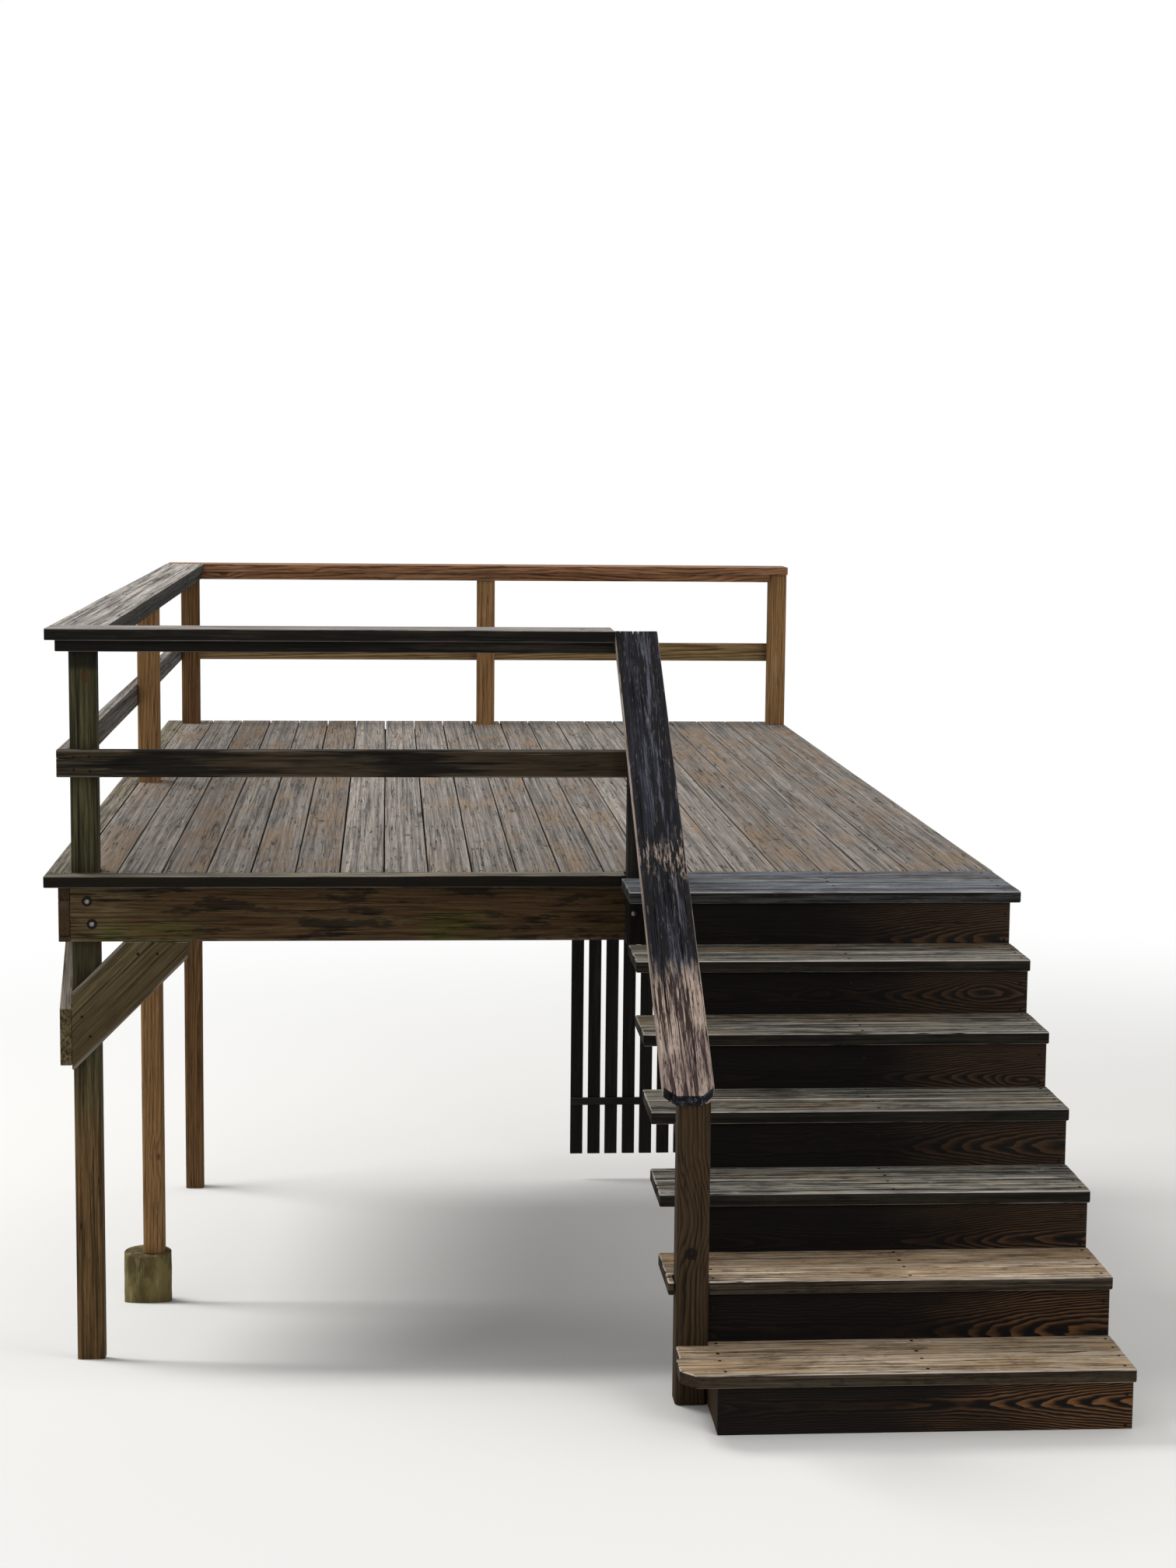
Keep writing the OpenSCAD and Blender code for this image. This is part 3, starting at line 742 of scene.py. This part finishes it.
def cut_splits(piece, along, seed, splits, ends):
    """Cuts drying cracks into every board of a piece with long thin wedges."""
    draw = random.Random(seed)
    found = []
    for board in boards_in(piece.data):
        _, *measures = measured(piece.data, board, along)
        found += split_board(*measures, draw, splits, ends)
    if not found:
        return
    wedge = added(bpy.ops.mesh.primitive_uv_sphere_add, segments=4, ring_count=2, radius=1)
    cutter = scattered(wedge, found, "split_wedges")
    choose(piece)
    cut = piece.modifiers.new("splits", "BOOLEAN")
    cut.operation, cut.solver, cut.use_self, cut.object = "DIFFERENCE", "EXACT", True, cutter
    bpy.ops.object.modifier_apply(modifier=cut.name)
    bpy.data.objects.remove(cutter)


def scattered(pattern, places, name):
    """Copies of a small part, one at each place, as one piece. The pattern itself is used up."""
    copies = []
    for place in places:
        copy = placed(name, pattern.data.copy())
        copy.data.transform(place)
        if place.determinant() < 0:
            copy.data.flip_normals()
        copies.append(copy)
    bpy.data.objects.remove(pattern)
    return joined(copies, name)


def slice_along(piece, axis, step):
    """Cuts a piece's faces across, so that its boards can bow."""
    reach = [vertex.co.dot(axis) for vertex in piece.data.vertices]
    low, high = min(reach), max(reach)
    count = int((high - low) / step)
    for i in range(1, count):
        shaped(piece, bpy.ops.mesh.bisect, plane_co=axis * (low + (high - low) * i / count), plane_no=axis)


def bow_boards(piece, along, seed):
    """Moves each board's points as drying does: a slow bow along it and a slight cup across it."""
    sizes = bpy.context.scene.deck_sizes
    mesh = piece.data
    for number, board in enumerate(boards_in(mesh)):
        places, axes, low, high = measured(mesh, board, along)
        middle = (low[1] + high[1]) / 2
        half = high[1] - middle
        for i, place in zip(board, places):
            # Where along the noise this point lies, on a stretch of the board's own
            run = place.dot(axes[0]) * 1.1 + seed * 7.3 + number * 3.7
            lift = noise.noise(Vector((run, 0.5, seed))) * sizes.bow
            side = noise.noise(Vector((run, 9.5, seed))) * sizes.bow
            cup = ((place.dot(axes[1]) - middle) / half) ** 2 * sizes.cup
            mesh.vertices[i].co = place + axes[2] * (lift + cup - sizes.cup / 2) + axes[1] * side


def whole_copy(node, name):
    """A copy of a solid with its flat faces in one again."""
    copy = placed(name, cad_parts[node].data.copy())
    copy.data.name = name
    copy.data.materials.clear()
    edit(copy)
    bpy.ops.mesh.remove_doubles(threshold=0.00001)
    bpy.ops.mesh.dissolve_limited(angle_limit=math.radians(1))
    leave()
    return copy


def fitted(piece, finish, nodes):
    """Gives a piece its material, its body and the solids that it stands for."""
    piece.data.materials.clear()
    piece.data.materials.append(FINISHES[finish])
    choose(piece)
    bpy.ops.object.shade_smooth_by_angle(angle=SMOOTH_ANGLE)
    flat = piece.modifiers.new("flat_faces", "WEIGHTED_NORMAL")
    flat.keep_sharp = True
    bpy.ops.object.modifier_apply(modifier=flat.name)
    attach(piece, "root")
    if nodes:
        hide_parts(*nodes)


def sawn(node, finish, along=None, splits=0, ends=0, step=0.45, ease=1.0):
    """Dresses the boards of one solid: eased edges, drying cracks, a bow and the grain.

    splits and ends are the cracks of each board along its faces and in from its ends, step is the distance
    between the cuts that let it bow, and ease widens its eased edges."""
    seed = sum(ord(letter) for letter in node)
    piece = whole_copy(node, node + "_sawn")
    shaped(piece, bpy.ops.mesh.bevel, offset=bpy.context.scene.deck_sizes.ease * ease, offset_type="OFFSET",
           segments=2, profile=0.5, affect="EDGES")
    cut_splits(piece, along, seed, splits, ends)
    axes = measured(piece.data, boards_in(piece.data)[0], along)[1]
    slice_along(piece, axes[0], step)
    bow_boards(piece, along, seed % 97)
    low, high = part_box(node)
    for vertex in piece.data.vertices:
        vertex.co = [min(max(value, a), b) for value, a, b in zip(vertex.co, low, high)]
    mark_grain(piece, along, seed)
    fitted(piece, finish, [node])


class DeckOperator(bpy.types.Operator):
    """What every operator of the deck shares."""
    bl_options = {"REGISTER", "UNDO"}


class DECK_OT_framing(DeckOperator):
    """The ledger, side beam, rims and joists under the decking"""
    bl_idname = "deck.framing"
    bl_label = "Framing"

    def execute(self, context):
        sawn("ledger_board", "frame")
        sawn("side_beam", "frame", splits=8, ends=3)
        sawn("front_rim", "front_rim", splits=12, ends=3)
        sawn("rear_rim", "frame", splits=5)
        sawn("joists", "frame")
        return {"FINISHED"}


class DECK_OT_decking(DeckOperator):
    """The deck boards, edge strips and landing boards"""
    bl_idname = "deck.decking"
    bl_label = "Decking"

    def execute(self, context):
        sawn("deck_boards", "decking", along=Y, splits=3, ends=1)
        sawn("front_edge_strip", "edging", splits=4, ends=2)
        sawn("left_edge_strip", "edging", splits=6, ends=2)
        sawn("landing_boards_set", "landing", along=X, splits=3, ends=2, ease=1.7)
        return {"FINISHED"}


class DECK_OT_posts(DeckOperator):
    """The square posts from the ground to the railing, and the newel"""
    bl_idname = "deck.posts"
    bl_label = "Posts"

    def execute(self, context):
        sawn("front_left_post", "front_post", splits=9)
        sawn("rear_left_post", "post", splits=6)
        # These posts get the post wood made lighter with painted sunlight
        for node in ("middle_left_post", "rear_middle_post", "rear_right_post"):
            sawn(node, "sunlit_post", splits=6)
        sawn("stair_post", "dark_rail", splits=4, ends=1)
        sawn("newel_post", "newel", splits=9, ends=1)
        return {"FINISHED"}


class DECK_OT_pier(DeckOperator):
    """The cast concrete pier under the middle post"""
    bl_idname = "deck.pier"
    bl_label = "Pier"

    def execute(self, context):
        low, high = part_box("concrete_pier")
        middle, size = (low + high) / 2, high - low
        pier = added(bpy.ops.mesh.primitive_cylinder_add, vertices=64, radius=size.x / 2 - PIER_ROOM,
                     depth=size.z, location=middle)
        pier.name = pier.data.name = "cast_pier"
        shaped(pier, bpy.ops.mesh.bevel, offset=PIER_EASE, offset_type="OFFSET", segments=3, affect="EDGES",
               clamp_overlap=True)
        slice_along(pier, Z, PIER_SLICE)
        for vertex in pier.data.vertices:
            out = Vector((vertex.co.x - middle.x, vertex.co.y - middle.y, 0))
            if out.length > size.x / 4:
                swell = sum(noise.noise(vertex.co * closeness) * height for closeness, height in PIER_SWELLS)
                vertex.co += out.normalized() * swell
        fitted(pier, "concrete", ["concrete_pier"])
        return {"FINISHED"}


class DECK_OT_braces(DeckOperator):
    """The knee braces at the front left post"""
    bl_idname = "deck.braces"
    bl_label = "Knee braces"

    def execute(self, context):
        sawn("front_knee_brace", "brace", along=BRACE_RUN, splits=4)
        sawn("side_knee_brace", "brace", along=SIDE_BRACE_RUN, splits=4)
        return {"FINISHED"}


class DECK_OT_railing(DeckOperator):
    """The caps, the plates under them and the middle rails"""
    bl_idname = "deck.railing"
    bl_label = "Railing"

    def execute(self, context):
        for node, finish, splits in (
                ("front_cap", "dark_rail", 9), ("front_plate", "dark_rail", 5),
                ("front_mid_rail", "mid_rail", 9),
                ("left_cap", "silver_cap", 14), ("left_plate", "silver_cap", 5),
                ("left_mid_rail", "silver_rail", 9),
                ("rear_cap", "russet_rail", 8), ("rear_plate", "russet_rail", 4),
                ("rear_mid_rail", "orange_rail", 6)):
            sawn(node, finish, splits=splits, ends=3)
        return {"FINISHED"}


class DECK_OT_steps(DeckOperator):
    """The stringers, treads and risers of the steps"""
    bl_idname = "deck.steps"
    bl_label = "Steps"

    def execute(self, context):
        for node in ("left_stringer", "middle_stringer", "right_stringer"):
            sawn(node, "frame", along=UPHILL, splits=4)
        for step in range(1, STEP_COUNT + 1):
            finish = "tread" if step < NEWEL_STEP else "low_tread"
            sawn(f"tread_{step}", finish, along=X, splits=4, ends=3, step=0.2, ease=1.7)
        sawn("risers", "riser", along=X, splits=1, ends=1, step=0.25, ease=0.6)
        return {"FINISHED"}


class DECK_OT_handrail(DeckOperator):
    """The flat handrail that slopes with the steps"""
    bl_idname = "deck.handrail"
    bl_label = "Handrail"

    def execute(self, context):
        sawn("handrail", "handrail", along=UPHILL, splits=26, ends=5, step=0.1, ease=1.4)
        return {"FINISHED"}


class DECK_OT_screen(DeckOperator):
    """The slatted screen under the rear edge"""
    bl_idname = "deck.screen"
    bl_label = "Slatted screen"

    def execute(self, context):
        sawn("screen_slats", "screen", along=Z, splits=1, ease=0.6)
        sawn("screen_rail", "screen", splits=2)
        return {"FINISHED"}


def nail(radius):
    """A round nail head with a softened rim, which lies mostly in the wood."""
    head = added(bpy.ops.mesh.primitive_cylinder_add, vertices=10, radius=radius, depth=NAIL_T,
                 location=(0, 0, NAIL_AT))
    shaped(head, bpy.ops.mesh.select_all, action="DESELECT")
    for face in head.data.polygons:
        face.select = face.normal.z > 0.9
    bpy.ops.object.mode_set(mode="EDIT")
    bpy.ops.mesh.inset(thickness=radius * 0.25, depth=0.0003)
    leave()
    return head


def facing(place, direction):
    """A place and a turn that point a part's top in a direction."""
    return Matrix.Translation(place) @ direction.to_track_quat("Z", "Y").to_matrix().to_4x4()


def on_top(x, y, z=0):
    """A place on the decking, or on what lies z above it."""
    return facing(row(x, y, z), Z)


def on_front(x, z, y=0):
    """A place on the front rim's face, or on another one that looks forward."""
    return facing(row(x, y, z), -Y)


def on_left(y, z):
    """A place on the side beam's outer face."""
    return facing(row(0, y, z), -X)


def on_rear(x, z):
    """A place on the rear rim's outer face."""
    return facing(row(x, DECK_L, z), Y)


class DECK_OT_nails(DeckOperator):
    """Nail heads in the decking, treads, risers, caps, rails and braces"""
    bl_idname = "deck.nails"
    bl_label = "Nails"

    def execute(self, context):
        draw = random.Random(11)

        def near(value, stray):
            return value + draw.uniform(-stray, stray)

        deck, steps, rails = [], [], []
        pitch = (DECK_L - LUMBER) / (JOIST_COUNT + 1)
        joists = [i * pitch + LUMBER / 2 for i in range(JOIST_COUNT + 2)]
        joists[0] += STRIP_COVER
        posts = [(LUMBER + POST / 2, y) for y in LEFT_POSTS_Y] + [(REAR_MIDDLE_POST_X, LEFT_POSTS_Y[-1])]
        first = LUMBER + BOARD_PITCH - BOARD
        for board in range(BOARD_COUNT):
            for y in joists:
                for side in (NAIL_EDGE, BOARD - NAIL_EDGE):
                    x = first + board * BOARD_PITCH + side
                    if not any(abs(x - a) < NAIL_POST and abs(y - b) < NAIL_POST for a, b in posts):
                        deck.append(on_top(near(x, DECK_STRAY), near(y, DECK_STRAY)))
        stringers = [FLIGHT_LEFT + x for x in (LUMBER / 2, FLIGHT_W / 2, FLIGHT_W - LUMBER / 2)]
        for step in range(STEP_COUNT + 1):
            nosing, top = LANDING_FRONT - step * RUN, -step * RISE
            for x in stringers:
                for y in TREAD_NAILS if step else LANDING_NAILS:
                    steps.append(on_top(near(x, STEP_STRAY), nosing + near(y, STEP_STRAY), top))
                for drop in RISER_NAILS:
                    x_nail, z_nail = near(x, STEP_STRAY), top - LUMBER - drop + near(0, STEP_STRAY)
                    steps.append(on_front(x_nail, z_nail, nosing + TREAD_BACK))
        caps = [(x, FRONT_CAP_LINE, DECK_STRAY, CAP_STRAY) for x in FRONT_CAP_NAILS]
        caps += [(LEFT_CAP_LINE, y, LEFT_CAP_STRAY, DECK_STRAY) for y in LEFT_CAP_NAILS]
        caps += [(x, REAR_CAP_LINE, DECK_STRAY, CAP_STRAY) for x in REAR_CAP_NAILS]
        for x, y, stray_x, stray_y in caps:
            rails.append(on_top(near(x, stray_x), near(y, stray_y), RAIL - NAIL_SUNK))
        for places, at in zip(RAIL_NAILS, (on_front, on_left, on_rear)):
            for place in places:
                for z in (MID_RAIL_LOW + NAIL_RAIL_EDGE, MID_RAIL_TOP - NAIL_RAIL_EDGE):
                    rails.append(at(near(place, RAIL_STRAY), near(z, RAIL_STRAY)))
        for place, z in BRACE_NAILS:
            rails += [on_front(place, z), on_left(place, z)]
        radius = context.scene.deck_sizes.nail_head
        for name, places, slot in (
                ("decking_nails", deck, "deck_lumber"), ("step_nails", steps, "deck_lumber"),
                ("rail_nails", rails, "rail_lumber")):
            fitted(scattered(nail(radius), places, name), "rusty", [])
        return {"FINISHED"}


class DECK_OT_bolts(DeckOperator):
    """Carriage bolts with washers, through the beams and posts"""
    bl_idname = "deck.bolts"
    bl_label = "Bolts"

    def execute(self, context):
        sizes = context.scene.deck_sizes
        bright = [on_front(x, z) for x, z in RIM_BOLTS] + [on_front(x, z, -POST) for x, z in STAIR_POST_BOLTS]
        bright += [on_left(y, z) for y, z in BEAM_BOLTS]
        dull = [on_front(x, z, NEWEL_Y) for x, z in NEWEL_BOLTS]
        head = added(bpy.ops.mesh.primitive_uv_sphere_add, segments=20, ring_count=12, radius=sizes.bolt_head)
        head.scale.z = BOLT_DOME
        settled(head)
        shaped(head, bpy.ops.mesh.bisect, plane_co=(0, 0, 0), plane_no=Z, use_fill=True, clear_inner=True)
        washer = added(bpy.ops.mesh.primitive_cylinder_add, vertices=28, radius=sizes.washer, depth=WASHER_T,
                       location=(0, 0, WASHER_AT))
        shaped(washer, bpy.ops.mesh.bevel, offset=0.0007, segments=2, affect="EDGES")
        head.data.transform(Matrix.Translation((0, 0, WASHER_AT + WASHER_T / 2)))
        rusty_head = bpy.data.objects.new("rusty_head", head.data.copy())
        fitted(scattered(washer, bright + dull, "bolt_washers"), "rusty", [])
        fitted(scattered(head, bright, "bolt_heads"), "steel", [])
        fitted(scattered(rusty_head, dull, "newel_bolt_heads"), "rusty", [])
        return {"FINISHED"}


def ground_under(y):
    """Height of the floor at a place along the deck, in the row's frame."""
    along = y + DECK_L / 2
    height = GROUND[0][1]
    for (a, start), (b, end) in zip(GROUND, GROUND[1:]):
        if along > a:
            height = start + (end - start) * min((along - a) / (b - a), 1)
    return row(0, y, height).z


class DECK_OT_stage(DeckOperator):
    """The pale floor, the soft lights and the camera"""
    bl_idname = "deck.stage"
    bl_label = "Stage"

    def execute(self, context):
        scene = context.scene
        floor = added(bpy.ops.mesh.primitive_grid_add, x_subdivisions=4, y_subdivisions=240, size=FLOOR_SIZE,
                      location=(0, 0, 0))
        floor.name = floor.data.name = "floor"
        for vertex in floor.data.vertices:
            vertex.co.z = ground_under(vertex.co.y)
        floor.data.materials.append(plain_floor(scene.deck_colours))
        choose(floor)
        bpy.ops.object.shade_smooth()

        scene.world = studio_world()
        for name, place, power, size in LAMPS:
            lamp = bpy.data.lights.new(name, "AREA")
            lamp.energy, lamp.shape, lamp.size = power, "DISK", size
            holder = placed(name, lamp)
            holder.location = place
            holder.rotation_euler = (LAMP_AIM - Vector(place)).to_track_quat("-Z", "Y").to_euler()

        ahead = Vector((math.sin(YAW) * math.cos(PITCH), math.cos(YAW) * math.cos(PITCH), -math.sin(PITCH)))
        level = Vector((math.cos(YAW), -math.sin(YAW), 0))
        down = ahead.cross(level)
        right = level * math.cos(ROLL) + down * math.sin(ROLL)
        up = level * math.sin(ROLL) - down * math.cos(ROLL)
        eye = bpy.data.cameras.new("camera")
        eye.sensor_fit, eye.sensor_height, eye.sensor_width = "VERTICAL", SENSOR, SENSOR
        eye.lens = FOCAL_PX / PHOTO_H * SENSOR
        camera = placed("camera", eye)
        camera.matrix_world = framed(right, up, -ahead, EYE)
        scene.camera = camera
        scene.view_settings.view_transform = "Standard"
        return {"FINISHED"}


OPERATORS = (
    DECK_OT_stage, DECK_OT_framing, DECK_OT_decking, DECK_OT_posts, DECK_OT_pier, DECK_OT_braces,
    DECK_OT_railing, DECK_OT_steps, DECK_OT_handrail, DECK_OT_screen, DECK_OT_nails, DECK_OT_bolts,
)


class DECK_PT_panel(bpy.types.Panel):
    """Lists the deck's sizes, colours and steps in the sidebar"""
    bl_idname = "DECK_PT_panel"
    bl_label = "Raised deck"
    bl_space_type = "VIEW_3D"
    bl_region_type = "UI"
    bl_category = "Deck"

    def draw(self, context):
        for operator in OPERATORS:
            self.layout.operator(operator.bl_idname)
        for group in (context.scene.deck_sizes, context.scene.deck_colours):
            box = self.layout.box()
            for name in group.__annotations__:
                box.prop(group, name)


CLASSES = (DeckSizes, DeckColours, *OPERATORS, DECK_PT_panel)


def register():
    for group in CLASSES:
        bpy.utils.register_class(group)
    bpy.types.Scene.deck_sizes = bpy.props.PointerProperty(type=DeckSizes)
    bpy.types.Scene.deck_colours = bpy.props.PointerProperty(type=DeckColours)


def unregister():
    del bpy.types.Scene.deck_colours, bpy.types.Scene.deck_sizes
    for group in reversed(CLASSES):
        bpy.utils.unregister_class(group)


def main():
    """Builds everything in order."""
    register()
    make_finishes()
    for operator in OPERATORS:
        family, name = operator.bl_idname.split(".")
        getattr(getattr(bpy.ops, family), name)()


if __name__ == "__main__":
    main()
